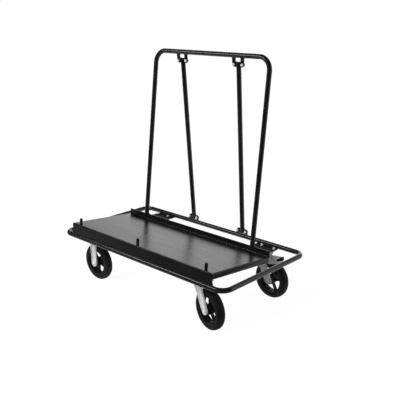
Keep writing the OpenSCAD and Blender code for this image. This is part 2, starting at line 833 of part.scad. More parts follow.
// Window between two spokes: straight edges joined by round corners
module spoke_window() {
    inner = hub_r + web_lip + window_r;
    outer = rim_r - rim_t - web_lip - window_r;
    corners = [window_corner(inner, -1), window_corner(outer, -1), [outer, 0],
               window_corner(outer, 1), window_corner(inner, 1)];
    polygon(corners);
    for (i = [0 : len(corners) - 1]) {
        here = corners[i];
        next = corners[(i + 1) % len(corners)];
        along = (next - here) / norm(next - here);
        out = [along[1], -along[0]] * window_r;
        translate(here) circle(window_r);
        polygon([here, here + out, next + out, next]);
    }
}
module wheel_core() {
    hub_w = fork_gap - 2 * hub_side_gap;
    color(core_black) rotate([90, 0, 0]) difference() {
        union() {
            translate([0, 0, -hub_w / 2]) cylinder(r = hub_r, h = hub_w);
            translate([0, 0, -web_t / 2]) linear_extrude(web_t) difference() {
                circle(rim_r - rim_t / 2);
                for (i = [0 : spoke_count - 1]) rotate(i * 360 / spoke_count) spoke_window();
            }
            translate([0, 0, -rim_w / 2]) linear_extrude(rim_w) difference() {
                circle(rim_r);
                circle(rim_r - rim_t);
            }
        }
        translate([0, 0, -hub_w]) cylinder(r = spacer_r + running, h = 2 * hub_w);
    }
}
module wheel_tyre() {
    shoulder_r = 15;
    color(rubber) rotate([90, 0, 0]) rotate_extrude() difference() {
        translate([rim_r + seat, -tyre_w / 2]) square([wheel_r - rim_r - seat, tyre_w]);
        for (side = [-1, 1]) translate([wheel_r - shoulder_r, side * (tyre_w / 2 - shoulder_r)])
            difference() {
                translate([0, side > 0 ? 0 : -shoulder_r - 1]) square([shoulder_r + 1, shoulder_r + 1]);
                circle(shoulder_r);
            }
    }
}
module front_left_core() {
    at_fixed_wheel(-front_caster_y, front_left_phase) wheel_core();
}
module front_left_tyre() {
    at_fixed_wheel(-front_caster_y, front_left_phase) wheel_tyre();
}
module rear_left_core() {
    at_fixed_wheel(rear_caster_y, rear_left_phase) wheel_core();
}
module rear_left_tyre() {
    at_fixed_wheel(rear_caster_y, rear_left_phase) wheel_tyre();
}
module front_right_core() {
    at_wheel(-front_caster_y, front_heading, front_right_phase) wheel_core();
}
module front_right_tyre() {
    at_wheel(-front_caster_y, front_heading, front_right_phase) wheel_tyre();
}
module rear_right_core() {
    at_wheel(rear_caster_y, rear_heading, rear_right_phase) wheel_core();
}
module rear_right_tyre() {
    at_wheel(rear_caster_y, rear_heading, rear_right_phase) wheel_tyre();
}

// Brake of the rear swivel caster: a pedal on a pin across the fork; its shoe meets the tread when pressed

// A vector in the side view turned by an angle
function turned(vector, angle) = [vector[0] * cos(angle) - vector[1] * sin(angle),
                                  vector[0] * sin(angle) + vector[1] * cos(angle)];
// A point of the caster's side view, along the pedal's tread plate and above its underside
function on_tread(point) = turned(point - pedal_foot, -pedal_slope);
// The wheel's axle as the pressed pedal sees it
pressed_axle = pedal_pin + turned([trail, wheel_r] - pedal_pin, pedal_travel);

module at_brake() {
    at_heading(rear_caster_y, rear_heading) children();
}
// The tread plate's own frame: X along the plate from its foot, Z off its underside
module on_pedal() {
    at_brake() translate([pedal_foot[0], 0, pedal_foot[1]]) rotate([0, -pedal_slope, 0]) children();
}
// Extrudes a side view evenly to both sides of the caster's middle
module across(width) {
    translate([0, width / 2, 0]) rotate([90, 0, 0]) linear_extrude(width) children();
}
// Outline of the round-ended tongue, or of the hollow below it
module tongue_outline(from, inset) {
    half_w = pedal_w / 2 - inset;
    translate([from, -half_w]) square([pedal_round - from, 2 * half_w]);
    translate([pedal_round, 0]) circle(half_w);
}
// Tongue pressed from sheet, with a skirt turned down round its sides and end, deeper by the fork
module pedal_tongue() {
    difference() {
        translate([0, 0, -skirt_root]) linear_extrude(skirt_root + pedal_t) tongue_outline(pedal_neck, 0);
        translate([0, 0, -skirt_root - 1]) linear_extrude(skirt_root + 1)
            tongue_outline(pedal_neck - 1, pedal_t);
        across(2 * pedal_w) polygon([
            [pedal_neck - 1, 1 - skirt_root], [pedal_length + 1, -skirt_end],
            [pedal_length + 1, -2 * skirt_root], [pedal_neck - 1, -2 * skirt_root]
        ]);
    }
}
// Side view of the arms that reach from the foot to the pin
module pedal_arm() {
    pin = on_tread(pedal_pin);
    boss = [0, pedal_boss_r];
    translate(pin) circle(pedal_boss_r);
    polygon([pin - boss, [pedal_neck, 0], [pedal_neck, pedal_t], [0, pedal_t], pin + boss]);
}
module brake_shoe() {
    difference() {
        translate([shoe_from, -shoe_drop]) square([shoe_to - shoe_from, shoe_drop + tiny]);
        translate(on_tread(pressed_axle)) circle(wheel_r + shoe_gap);
    }
}
module rear_right_pedal() {
    color(zinc) on_pedal() difference() {
        union() {
            pedal_tongue();
            translate([0, -pedal_foot_w / 2, 0]) cube([pedal_neck + 1, pedal_foot_w, pedal_t]);
            across(shoe_w) brake_shoe();
            for (side = [-1, 1]) translate([0, side * (pedal_foot_w - pedal_t) / 2, 0])
                across(pedal_t) pedal_arm();
        }
        across(2 * leg_out) translate(on_tread(pedal_pin)) circle(pedal_pin_r + running);
    }
}
module rear_right_pedal_pin() {
    color(zinc) at_brake() across(2 * leg_out - 2) translate(pedal_pin) circle(pedal_pin_r);
}

// Grip: a moulded cap over the pedal's round end
module rear_right_pedal_grip() {
    color(core_black) on_pedal() difference() {
        translate([0, 0, -grip_drop]) linear_extrude(grip_drop + pedal_t + grip_t) intersection() {
            translate([pedal_round, 0]) circle(pedal_w / 2 + grip_t);
            translate([pedal_length - grip_l, -pedal_w]) square([2 * grip_l, 2 * pedal_w]);
        }
        translate([pedal_round, 0, -2 * grip_drop])
            cylinder(r = pedal_w / 2 + seat, h = 2 * grip_drop + pedal_t + seat);
    }
}

base_loop_left();
base_loop_right();
front_bearer();
rear_bearer();
cross_bearer_left();
cross_bearer_right();
left_caster_plates();
right_caster_plates();
deck_panel();
deck_ribs();
edge_pegs();
peg_washers();
peg_nuts();
back_frame();
leg_bolts();
leg_nuts();
brace_left();
brace_right();
bar_lugs();
tube_lugs();
brace_bolts();
brace_nuts();
caster_bolts();
caster_nuts();
front_left_fork();
front_left_spacer();
front_left_core();
front_left_tyre();
rear_left_fork();
rear_left_spacer();
rear_left_core();
rear_left_tyre();
fixed_axles();
fixed_axle_nuts();
front_right_top_plate();
front_right_kingpin();
front_right_balls();
front_right_fork();
front_right_axle();
front_right_axle_nut();
front_right_spacer();
front_right_core();
front_right_tyre();
rear_right_top_plate();
rear_right_kingpin();
rear_right_balls();
rear_right_fork();
rear_right_axle();
rear_right_axle_nut();
rear_right_spacer();
rear_right_core();
rear_right_tyre();
rear_right_pedal();
rear_right_pedal_pin();
rear_right_pedal_grip();
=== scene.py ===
"""Drywall cart: a sloping sheet deck on a tubular loop with four casters, and a leaning back frame."""
import json
import math

import bmesh
import bpy
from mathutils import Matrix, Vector


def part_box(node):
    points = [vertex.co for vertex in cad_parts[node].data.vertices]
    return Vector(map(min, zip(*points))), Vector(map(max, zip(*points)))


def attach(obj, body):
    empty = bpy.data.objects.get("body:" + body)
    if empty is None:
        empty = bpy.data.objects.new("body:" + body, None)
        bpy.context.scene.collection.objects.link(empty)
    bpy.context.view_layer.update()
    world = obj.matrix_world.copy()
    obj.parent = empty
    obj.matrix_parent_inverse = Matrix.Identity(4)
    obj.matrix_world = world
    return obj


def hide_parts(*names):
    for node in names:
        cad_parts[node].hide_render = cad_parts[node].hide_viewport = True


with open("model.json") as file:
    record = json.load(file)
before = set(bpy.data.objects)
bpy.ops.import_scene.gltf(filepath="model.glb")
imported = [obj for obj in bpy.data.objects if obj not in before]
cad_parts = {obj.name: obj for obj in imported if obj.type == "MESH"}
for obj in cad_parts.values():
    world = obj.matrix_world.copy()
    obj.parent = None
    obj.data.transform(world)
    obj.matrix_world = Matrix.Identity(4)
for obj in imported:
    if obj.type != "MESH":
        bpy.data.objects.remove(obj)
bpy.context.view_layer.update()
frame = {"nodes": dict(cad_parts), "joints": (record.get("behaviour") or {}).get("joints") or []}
nodes = frame["nodes"]
joints = {joint["name"]: joint for joint in frame["joints"]}
scene = bpy.context.scene
scene.view_settings.view_transform = "Standard"


# Camera: a short telephoto lens that looks down on the cart's front right corner.
# Its focal length and centre are in pixels of the 400 by 400 picture.
picture_px = 400
focal_px = 630.1
lens_centre_px = (214.1, 205.3)
sensor_mm = 36
camera_place = (2.21583, -2.15623, 1.42489)
camera_yaw = math.radians(42.384)
camera_pitch = math.radians(17.363)

lens = bpy.data.cameras.new("camera")
lens.sensor_width = sensor_mm
lens.lens = focal_px * sensor_mm / picture_px
lens.shift_x = 0.5 - lens_centre_px[0] / picture_px
lens.shift_y = lens_centre_px[1] / picture_px - 0.5
camera = bpy.data.objects.new("camera", lens)
camera.location = camera_place
camera.rotation_euler = (math.pi / 2 - camera_pitch, 0, camera_yaw)
scene.collection.objects.link(camera)
scene.camera = camera


# Studio: a surround that is bright behind the cart and dim in front of it, four soft boxes,
# and a white floor that takes a light shadow. The bright patch fades between two cosines
# of the angle from its middle.
surround_front = 0.05
surround_back = 1.75
bright_side = Vector((-0.42, 0.9, 0.1)).normalized()
patch_rim = 0.8
patch_full = 0.93
white = (1, 1, 1, 1)

surround = bpy.data.worlds.new("surround")
scene.world = surround
surround.use_nodes = True
tree = surround.node_tree
tree.nodes.clear()
direction = tree.nodes.new("ShaderNodeTexCoord")
toward_back = tree.nodes.new("ShaderNodeVectorMath")
toward_back.operation = "DOT_PRODUCT"
toward_back.inputs[1].default_value = bright_side
level = tree.nodes.new("ShaderNodeMapRange")
level.inputs["From Min"].default_value = patch_rim
level.inputs["From Max"].default_value = patch_full
level.inputs["To Min"].default_value = surround_front
level.inputs["To Max"].default_value = surround_back
ray = tree.nodes.new("ShaderNodeLightPath")
lit = tree.nodes.new("ShaderNodeBackground")
lit.inputs["Color"].default_value = white
seen = tree.nodes.new("ShaderNodeBackground")
seen.inputs["Color"].default_value = white
choose = tree.nodes.new("ShaderNodeMixShader")
sky_out = tree.nodes.new("ShaderNodeOutputWorld")
tree.links.new(direction.outputs["Generated"], toward_back.inputs[0])
tree.links.new(toward_back.outputs["Value"], level.inputs["Value"])
tree.links.new(level.outputs["Result"], lit.inputs["Strength"])
tree.links.new(ray.outputs["Is Camera Ray"], choose.inputs["Fac"])
tree.links.new(lit.outputs[0], choose.inputs[1])
tree.links.new(seen.outputs[0], choose.inputs[2])
tree.links.new(choose.outputs[0], sky_out.inputs["Surface"])


def soft_box(name, watts, width, length, place, aim, mirrored):
    """A rectangular studio light at a place, facing a point; the coats show it only if it is mirrored."""
    lamp = bpy.data.lights.new(name, "AREA")
    lamp.energy = watts
    lamp.shape = "RECTANGLE"
    lamp.size = width
    lamp.size_y = length
    box = bpy.data.objects.new(name, lamp)
    box.location = place
    box.rotation_euler = (Vector(aim) - Vector(place)).to_track_quat("-Z", "Y").to_euler()
    box.visible_glossy = mirrored
    scene.collection.objects.link(box)


soft_box("front_box", watts=110, width=1.6, length=1.6,
         place=(-0.8, -3.2, 1.9), aim=(0, 0, 0.2), mirrored=False)
soft_box("front_strip", watts=40, width=2.0, length=0.5,
         place=(-1.5, -1.5, 2.0), aim=(-1.5, -0.3, 0.3), mirrored=True)
soft_box("push_end_box", watts=35, width=1.2, length=1.2,
         place=(2.9, -1.7, 1.0), aim=(0.5, 0, 0.2), mirrored=False)
soft_box("back_box", watts=23, width=2.4, length=2.4,
         place=(2.4, 2.2, 1.5), aim=(0.5, 0, 0.2), mirrored=True)

floor_half = 9
floor_grey = (0.15, 0.15, 0.15, 1)
near_white = 0.94
near_r = 1.0
far_r = 3.5
white_way = Vector((-0.35, 1, 0))
dark_from = -0.75
white_from = 0.2

floor_corners = [(-floor_half, -floor_half, 0), (floor_half, -floor_half, 0),
                 (floor_half, floor_half, 0), (-floor_half, floor_half, 0)]
floor_mesh = bpy.data.meshes.new("floor")
floor_mesh.from_pydata(floor_corners, [], [(0, 1, 2, 3)])
floor = bpy.data.objects.new("floor", floor_mesh)
scene.collection.objects.link(floor)
floor_white = bpy.data.materials.new("floor_white")
floor_white.use_nodes = True
tree = floor_white.node_tree
tree.nodes.clear()
matte = tree.nodes.new("ShaderNodeBsdfDiffuse")
matte.inputs["Color"].default_value = floor_grey
glow = tree.nodes.new("ShaderNodeEmission")
glow.inputs["Color"].default_value = white
ray = tree.nodes.new("ShaderNodeLightPath")
place = tree.nodes.new("ShaderNodeTexCoord")
depth = tree.nodes.new("ShaderNodeVectorMath")
depth.operation = "DOT_PRODUCT"
depth.inputs[1].default_value = white_way
toward_back = tree.nodes.new("ShaderNodeMapRange")
toward_back.inputs["From Min"].default_value = dark_from
toward_back.inputs["From Max"].default_value = white_from
mirrored = tree.nodes.new("ShaderNodeMath")
mirrored.operation = "MULTIPLY_ADD"
distance = tree.nodes.new("ShaderNodeVectorMath")
distance.operation = "LENGTH"
sweep = tree.nodes.new("ShaderNodeMapRange")
sweep.inputs["From Min"].default_value = near_r
sweep.inputs["From Max"].default_value = far_r
sweep.inputs["To Min"].default_value = near_white
lift = tree.nodes.new("ShaderNodeMath")
lift.operation = "MULTIPLY"
both = tree.nodes.new("ShaderNodeAddShader")
floor_out = tree.nodes.new("ShaderNodeOutputMaterial")
tree.links.new(place.outputs["Object"], depth.inputs[0])
tree.links.new(depth.outputs["Value"], toward_back.inputs["Value"])
tree.links.new(toward_back.outputs["Result"], mirrored.inputs[0])
tree.links.new(ray.outputs["Is Glossy Ray"], mirrored.inputs[1])
tree.links.new(ray.outputs["Is Camera Ray"], mirrored.inputs[2])
tree.links.new(mirrored.outputs[0], lift.inputs[0])
tree.links.new(place.outputs["Object"], distance.inputs[0])
tree.links.new(distance.outputs["Value"], sweep.inputs["Value"])
tree.links.new(sweep.outputs["Result"], lift.inputs[1])
tree.links.new(lift.outputs[0], glow.inputs["Strength"])
tree.links.new(matte.outputs[0], both.inputs[0])
tree.links.new(glow.outputs[0], both.inputs[1])
tree.links.new(both.outputs[0], floor_out.inputs["Surface"])
floor_mesh.materials.append(floor_white)


# Frame tubes, bearers and plates: mild steel, cut, bent and welded, then powder-coated black.
# The coat is glossy on the tubes, with a fine orange-peel skin, and duller on what lies under the deck.
tube_pieces = ["base_loop_left", "base_loop_right", "back_frame", "brace_left", "brace_right",
               "bar_lugs", "tube_lugs"]
under_pieces = ["front_bearer", "rear_bearer", "cross_bearer_left", "cross_bearer_right",
                "left_caster_plates", "right_caster_plates", "deck_ribs"]
dark_below = 0.35
pale_above = 0.65
low_below = 0.3
high_above = 0.7


def new_finish(name, colour, metallic, specular):
    """A material with a Principled shader: returns it with its node tree and shader."""
    material = bpy.data.materials.new(name)
    material.use_nodes = True
    shader = material.node_tree.nodes["Principled BSDF"]
    shader.inputs["Base Color"].default_value = (*colour, 1)
    shader.inputs["Metallic"].default_value = metallic
    shader.inputs["Specular IOR Level"].default_value = specular
    return material, material.node_tree, shader


def add_cloud(tree, scale, detail, stretch=(1, 1, 1)):
    """Noise in the cart's own metres; a small stretch along an axis draws it out that way."""
    place = tree.nodes.new("ShaderNodeTexCoord")
    turn = tree.nodes.new("ShaderNodeMapping")
    turn.inputs["Scale"].default_value = stretch
    cloud = tree.nodes.new("ShaderNodeTexNoise")
    cloud.inputs["Scale"].default_value = scale
    cloud.inputs["Detail"].default_value = detail
    tree.links.new(place.outputs["Object"], turn.inputs["Vector"])
    tree.links.new(turn.outputs["Vector"], cloud.inputs["Vector"])
    return cloud.outputs["Fac"]


def blend_colours(tree, cloud, shader, dark, pale):
    """Lets a noise drive the base colour between two colours."""
    ramp = tree.nodes.new("ShaderNodeValToRGB")
    ramp.color_ramp.elements[0].position = dark_below
    ramp.color_ramp.elements[0].color = (*dark, 1)
    ramp.color_ramp.elements[1].position = pale_above
    ramp.color_ramp.elements[1].color = (*pale, 1)
    tree.links.new(cloud, ramp.inputs["Fac"])
    tree.links.new(ramp.outputs["Color"], shader.inputs["Base Color"])


def vary_roughness(tree, cloud, shader, low, high):
    """Lets a noise drive the roughness between two values."""
    spread = tree.nodes.new("ShaderNodeMapRange")
    spread.inputs["From Min"].default_value = low_below
    spread.inputs["From Max"].default_value = high_above
    spread.inputs["To Min"].default_value = low
    spread.inputs["To Max"].default_value = high
    tree.links.new(cloud, spread.inputs["Value"])
    tree.links.new(spread.outputs["Result"], shader.inputs["Roughness"])


def raise_grain(tree, cloud, shader, strength, depth, edge_r=0):
    """Bumps a surface with a noise, over edges that look rounded to a radius."""
    grain = tree.nodes.new("ShaderNodeBump")
    grain.inputs["Strength"].default_value = strength
    grain.inputs["Distance"].default_value = depth
    tree.links.new(cloud, grain.inputs["Height"])
    tree.links.new(grain.outputs["Normal"], shader.inputs["Normal"])
    if edge_r:
        soft_edge = tree.nodes.new("ShaderNodeBevel")
        soft_edge.inputs["Radius"].default_value = edge_r
        tree.links.new(soft_edge.outputs["Normal"], grain.inputs["Normal"])


def coat_node(name, material):
    """Gives a CAD node its finish."""
    nodes[name].data.materials.clear()
    nodes[name].data.materials.append(material)


powder_coat, tree, shader = new_finish("powder_coat", colour=(0.006, 0.006, 0.007), metallic=0, specular=0.4)
blotches = add_cloud(tree, scale=14, detail=4)
blend_colours(tree, blotches, shader, dark=(0.005, 0.005, 0.006), pale=(0.009, 0.009, 0.010))
haze = add_cloud(tree, scale=55, detail=5)
vary_roughness(tree, haze, shader, low=0.19, high=0.24)
orange_peel = add_cloud(tree, scale=750, detail=2)
raise_grain(tree, orange_peel, shader, strength=0.03, depth=0.0003)
for name in tube_pieces:
    coat_node(name, powder_coat)

under_coat, tree, shader = new_finish("under_coat", colour=(0.006, 0.006, 0.006), metallic=0, specular=0.25)
blotches = add_cloud(tree, scale=20, detail=5)
blend_colours(tree, blotches, shader, dark=(0.004, 0.004, 0.004), pale=(0.009, 0.009, 0.009))
haze = add_cloud(tree, scale=70, detail=5)
vary_roughness(tree, haze, shader, low=0.55, high=0.75)
orange_peel = add_cloud(tree, scale=800, detail=3)
raise_grain(tree, orange_peel, shader, strength=0.15, depth=0.0003, edge_r=0.0008)
for name in under_pieces:
    coat_node(name, under_coat)


# Weld beads: the runs of weld at the apron, the caster plates, the bearers, the lugs and the
# braces' end plates. Each is laid by hand as a row of overlapping ripples, and is coated with the frame.
bead_w = 0.0046
bead_pitch = 0.0022
ripple_sides = 8
ripple_rings = 5
ripple_r = 0.5
smallest_ripple = (0.75, 0.9, 0.85)
largest_ripple = (0.9, 1.1, 1.1)
ripple_seed = 7
tube_r = 0.0125
stitch_l = 0.032
apron_stitch_x = (-0.485, -0.23, 0.027, 0.285, 0.485)
seam_play = 0.0003
end_plate_t = 0.004
end_plate_half = 0.013


def new_tree(name, inputs):
    """A Geometry Nodes tree from a mesh to a mesh: returns it with its input and output nodes."""
    tree = bpy.data.node_groups.new(name, "GeometryNodeTree")
    tree.interface.new_socket("Geometry", in_out="INPUT", socket_type="NodeSocketGeometry")
    for label, kind in inputs:
        tree.interface.new_socket(label, in_out="INPUT", socket_type=kind)
    tree.interface.new_socket("Geometry", in_out="OUTPUT", socket_type="NodeSocketGeometry")
    return tree, tree.nodes.new("NodeGroupInput"), tree.nodes.new("NodeGroupOutput")


def grow(name, mesh, tree, values):
    """Runs a tree over a mesh with its named inputs set, and returns the result as a plain object."""
    source = bpy.data.objects.new(f"{name}_source", mesh)
    scene.collection.objects.link(source)
    modifier = source.modifiers.new("grow", "NODES")
    modifier.node_group = tree
    for socket in tree.interface.items_tree:
        if socket.in_out == "INPUT" and socket.name in values:
            modifier[socket.identifier] = values[socket.name]
    evaluated = source.evaluated_get(bpy.context.evaluated_depsgraph_get())
    grown = bpy.data.objects.new(name, bpy.data.meshes.new_from_object(evaluated))
    scene.collection.objects.link(grown)
    bpy.data.objects.remove(source)
    return grown


def finish_tree(tree, start, end, instances):
    """Ends a tree: the instances become one mesh with the tree's finish."""
    real = tree.nodes.new("GeometryNodeRealizeInstances")
    paint = tree.nodes.new("GeometryNodeSetMaterial")
    tree.links.new(instances, real.inputs["Geometry"])
    tree.links.new(real.outputs["Geometry"], paint.inputs["Geometry"])
    tree.links.new(start.outputs["Finish"], paint.inputs["Material"])
    tree.links.new(paint.outputs["Geometry"], end.inputs["Geometry"])


weld_tree, start, end = new_tree("weld_run", [
    ("Pitch", "NodeSocketFloat"), ("Bead width", "NodeSocketFloat"), ("Finish", "NodeSocketMaterial")])
run = weld_tree.nodes.new("GeometryNodeMeshToCurve")
steps = weld_tree.nodes.new("GeometryNodeResampleCurve")
steps.mode = "LENGTH"
tangent = weld_tree.nodes.new("GeometryNodeInputTangent")
along = weld_tree.nodes.new("FunctionNodeAlignRotationToVector")
along.axis = "X"
ripple = weld_tree.nodes.new("GeometryNodeMeshUVSphere")
ripple.inputs["Segments"].default_value = ripple_sides
ripple.inputs["Rings"].default_value = ripple_rings
ripple.inputs["Radius"].default_value = ripple_r
smooth = weld_tree.nodes.new("GeometryNodeSetShadeSmooth")
wobble = weld_tree.nodes.new("FunctionNodeRandomValue")
wobble.data_type = "FLOAT_VECTOR"
wobble.inputs[0].default_value = smallest_ripple
wobble.inputs[1].default_value = largest_ripple
wobble.inputs["Seed"].default_value = ripple_seed
sized = weld_tree.nodes.new("ShaderNodeVectorMath")
sized.operation = "SCALE"
lay = weld_tree.nodes.new("GeometryNodeInstanceOnPoints")
weld_tree.links.new(start.outputs["Geometry"], run.inputs["Mesh"])
weld_tree.links.new(run.outputs["Curve"], steps.inputs["Curve"])
weld_tree.links.new(start.outputs["Pitch"], steps.inputs["Length"])
weld_tree.links.new(tangent.outputs["Tangent"], along.inputs["Vector"])
weld_tree.links.new(ripple.outputs["Mesh"], smooth.inputs["Geometry"])
weld_tree.links.new(wobble.outputs[0], sized.inputs[0])
weld_tree.links.new(start.outputs["Bead width"], sized.inputs["Scale"])
weld_tree.links.new(steps.outputs["Curve"], lay.inputs["Points"])
weld_tree.links.new(smooth.outputs["Geometry"], lay.inputs["Instance"])
weld_tree.links.new(along.outputs["Rotation"], lay.inputs["Rotation"])
weld_tree.links.new(sized.outputs["Vector"], lay.inputs["Scale"])
finish_tree(weld_tree, start, end, lay.outputs["Instances"])


def separate_solids(name):
    """The separate solids of a CAD node, each as a list of its corners."""
    shell = bmesh.new()
    shell.from_mesh(nodes[name].data)
    bmesh.ops.remove_doubles(shell, verts=shell.verts, dist=1e-6)
    solids = []
    for first in shell.verts:
        if first.tag:
            continue
        first.tag = True
        waiting = [first]
        corners = []
        while waiting:
            vert = waiting.pop()
            corners.append(vert.co.copy())
            for edge in vert.link_edges:
                other = edge.other_vert(vert)
                if not other.tag:
                    other.tag = True
                    waiting.append(other)
        solids.append(corners)
    shell.free()
    return solids


def corner_box(corners):
    """Lowest and highest corner of a solid."""
    low = Vector(min(corner[i] for corner in corners) for i in range(3))
    high = Vector(max(corner[i] for corner in corners) for i in range(3))
    return low, high


def tube_axis(node):
    """A point on the axis of a node's highest and rearmost tube, which lies along the cart."""
    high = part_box(node)[1]
    return Vector((0, high.y - tube_r, high.z - tube_r))


def middle(corners):
    """Mean of a solid's corners, which lies on its axis if it is round or hexagonal."""
    return sum(corners, Vector()) / len(corners)


weld_runs = []
sheet_corners = [vert.co for vert in nodes["deck_panel"].data.vertices]
apron_low = min(sheet_corners, key=lambda corner: (round(corner.y, 4), corner.z))
for x in apron_stitch_x:
    stitch_from = (x - stitch_l / 2, apron_low.y, apron_low.z)
    stitch_to = (x + stitch_l / 2, apron_low.y, apron_low.z)
    weld_runs.append((stitch_from, stitch_to))

for node in ("left_caster_plates", "right_caster_plates"):
    for plate in separate_solids(node):
        low, high = corner_box(plate)
        bearer_low, bearer_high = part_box("front_bearer" if low.y < 0 else "rear_bearer")
        tube_side = low.y if low.y < 0 else high.y
        bearer_side = bearer_low.y if low.y < 0 else bearer_high.y
        from_x = max(low.x, bearer_low.x)
        to_x = min(high.x, bearer_high.x)
        weld_runs.append(((low.x, tube_side, high.z), (high.x, tube_side, high.z)))
        weld_runs.append(((from_x, bearer_side, high.z), (to_x, bearer_side, high.z)))

for node in ("cross_bearer_left", "cross_bearer_right"):
    low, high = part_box(node)
    for x in (low.x, high.x):
        for y in (low.y, high.y):
            weld_runs.append(((x, y, low.z + bead_w), (x, y, high.z - bead_w)))

rear_axis = tube_axis("base_loop_left")
bar_axis = tube_axis("back_frame")
for node, axis in (("tube_lugs", rear_axis), ("bar_lugs", bar_axis)):
    for lug in separate_solids(node):
        low, high = corner_box(lug)
        seam = [corner for corner in lug
                if math.hypot(corner.y - axis.y, corner.z - axis.z) < tube_r + seam_play]
        for edge in (min(seam, key=lambda corner: corner.y), max(seam, key=lambda corner: corner.y)):
            weld_runs.append(((low.x, edge.y, edge.z), (high.x, edge.y, edge.z)))

up_brace = (bar_axis - rear_axis).normalized()
off_brace = up_brace.cross(Vector((1, 0, 0)))
brace_bolts = [middle(bolt) for bolt in separate_solids("brace_bolts")]
for side in (-1, 1):
    for at_top in (False, True):
        pair = [bolt for bolt in brace_bolts if bolt.x * side > 0 and (bolt.z > bar_axis.z / 2) == at_top]
        between = middle(pair)
        centre = rear_axis + up_brace * (between - rear_axis).dot(up_brace)
        centre.x = between.x
        for edge in (-tube_r, tube_r):
            for face in (-end_plate_t / 2, end_plate_t / 2):
                seam_middle = centre + Vector((edge, 0, 0)) + face * off_brace
                seam_from = seam_middle - end_plate_half * up_brace
                seam_to = seam_middle + end_plate_half * up_brace
                weld_runs.append((seam_from, seam_to))

weld_mesh = bpy.data.meshes.new("weld_runs")
weld_mesh.from_pydata([point for weld_run in weld_runs for point in weld_run],
                      [(2 * i, 2 * i + 1) for i in range(len(weld_runs))], [])
weld_values = {"Pitch": bead_pitch, "Bead width": bead_w, "Finish": powder_coat}
welds = grow("weld_beads", weld_mesh, weld_tree, weld_values)
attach(welds, "cart_frame")


# Deck: one steel sheet with bent edges, coated in a satin black.
# Boards slide over it, so faint scuffs run along it.
deck_coat, tree, shader = new_finish("deck_coat", colour=(0.003, 0.003, 0.0033), metallic=0, specular=0.3)
blotches = add_cloud(tree, scale=5, detail=5)
blend_colours(tree, blotches, shader, dark=(0.002, 0.002, 0.0022), pale=(0.004, 0.004, 0.0044))
scuffs = add_cloud(tree, scale=30, detail=6, stretch=(0.15, 1, 1))
vary_roughness(tree, scuffs, shader, low=0.26, high=0.29)
orange_peel = add_cloud(tree, scale=620, detail=2)
raise_grain(tree, orange_peel, shader, strength=0.06, depth=0.0003)
coat_node("deck_panel", deck_coat)


# Caster steel: pressed forks, top plates, pins, balls, spacers and the brake pedal, zinc-plated,
# as are the pegs' washers and nuts. The plating is pale and cloudy rather than bright, with the
# fine lines of the pressing.
zinc_pieces = ["peg_washers", "peg_nuts", "rear_right_pedal", "rear_right_pedal_pin"]
for corner in ("front_left", "rear_left"):
    for piece in ("fork", "spacer"):
        zinc_pieces.append(f"{corner}_{piece}")
for corner in ("front_right", "rear_right"):
    for piece in ("top_plate", "kingpin", "balls", "fork", "spacer"):
        zinc_pieces.append(f"{corner}_{piece}")

zinc_plate, tree, shader = new_finish("zinc_plate", colour=(0.66, 0.67, 0.68), metallic=0.15, specular=0.4)
blotches = add_cloud(tree, scale=28, detail=5)
blend_colours(tree, blotches, shader, dark=(0.54, 0.55, 0.56), pale=(0.74, 0.75, 0.76))
haze = add_cloud(tree, scale=160, detail=4, stretch=(1, 1, 0.12))
vary_roughness(tree, haze, shader, low=0.46, high=0.62)
press_lines = add_cloud(tree, scale=420, detail=3, stretch=(1, 1, 0.1))
raise_grain(tree, press_lines, shader, strength=0.08, depth=0.0003, edge_r=0.0006)
for name in zinc_pieces:
    coat_node(name, zinc_plate)


# Fasteners: hexagon bolts with nuts, and round-headed bolts at the back frame's feet.
# Stock steel with chamfered hexagons and a few turns of thread standing out of each nut,
# zinc-plated, or black at the feet.
ring_points = 12
ring_step = 2 * math.pi / ring_points
thread_depth_share = 0.12
thread_pitch = 0.00125
round_face_share = 0.84
chamfer_share = 0.16
flat_chamfer_share = 0.03
nut_flat_share = 0.2
largest_nut_share = 1.9
thread_root_at = 0.3
thread_crest_at = 0.7
point_share = 0.8
dome_profile = ((0.3, 0), (0.6, 0.13), (0.85, 0.42), (0.97, 0.72), (1, 1))


def ring_point(shape, i, radius, height):
    """One of the points of a ring, at a radius and a height."""
    return shape.verts.new((radius * math.cos(i * ring_step), radius * math.sin(i * ring_step), height))


def round_ring(shape, radius, height):
    """Points on a circle."""
    return [ring_point(shape, i, radius, height) for i in range(ring_points)]


def hexagon_ring(shape, radius, corner_height, flat_height):
    """Points on a hexagon: its corners, and the middles of its flats."""
    points = []
    for i in range(ring_points):
        on_corner = i % 2 == 0
        reach = radius if on_corner else radius * math.cos(math.pi / 6)
        height = corner_height if on_corner else flat_height
        points.append(ring_point(shape, i, reach, height))
    return points


def skin(shape, rings, smooth):
    """Walls between rings, closed at both ends."""
    for low, high in zip(rings, rings[1:]):
        for i in range(ring_points):
            j = (i + 1) % ring_points
            shape.faces.new((low[i], low[j], high[j], high[i])).smooth = smooth
    shape.faces.new(rings[0][::-1])
    shape.faces.new(rings[-1])


